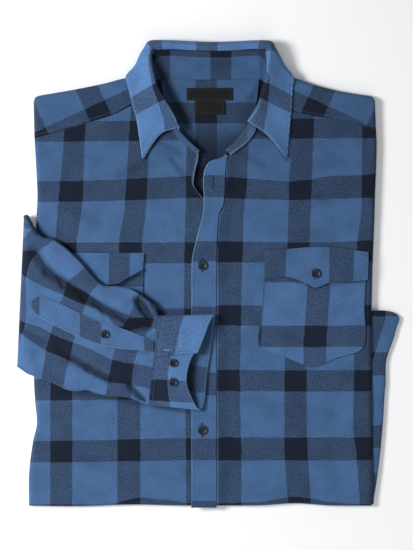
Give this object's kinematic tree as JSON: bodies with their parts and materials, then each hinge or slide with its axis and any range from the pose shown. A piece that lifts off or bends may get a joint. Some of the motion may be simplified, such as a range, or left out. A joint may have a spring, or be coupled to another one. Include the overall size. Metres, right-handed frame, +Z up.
{
  "type": "flannel shirt",
  "caption": "Long-sleeved checked flannel shirt with chest pockets, folded flat, one sleeve laid across the front.",
  "frame": {"origin": "on the floor below the middle of the folded shirt", "axes": "+X to the wearer's left, +Y up to the collar, +Z up from the floor"},
  "size_m": [0.4949, 0.6072, 0.0292],
  "materials": {
    "flannel": "brushed flannel in a dark blue check on mid blue",
    "label_cloth": "plain woven black tape",
    "button_plastic": "dark navy, four holes"
  },
  "bodies": {
    "root": {"folded_body": "flannel", "front_right": "flannel", "front_left": "flannel", "placket": "flannel", "yoke_right": "flannel", "yoke_left": "flannel", "yoke_inside": "flannel", "collar_stand": "flannel", "collar_leaf": "flannel", "pocket_left": "flannel", "flap_left": "flannel", "pocket_right": "flannel", "flap_right": "flannel", "sleeve_right": "flannel", "sleeve_placket": "flannel", "cuff_right": "flannel", "sleeve_left": "flannel", "neck_label": "label_cloth", "size_label": "label_cloth", "button_front_upper": "button_plastic", "button_front_lower": "button_plastic", "button_flap_left": "button_plastic", "button_sleeve_placket": "button_plastic", "button_cuff_upper": "button_plastic", "button_cuff_lower": "button_plastic"}
  },
  "joints": []
}
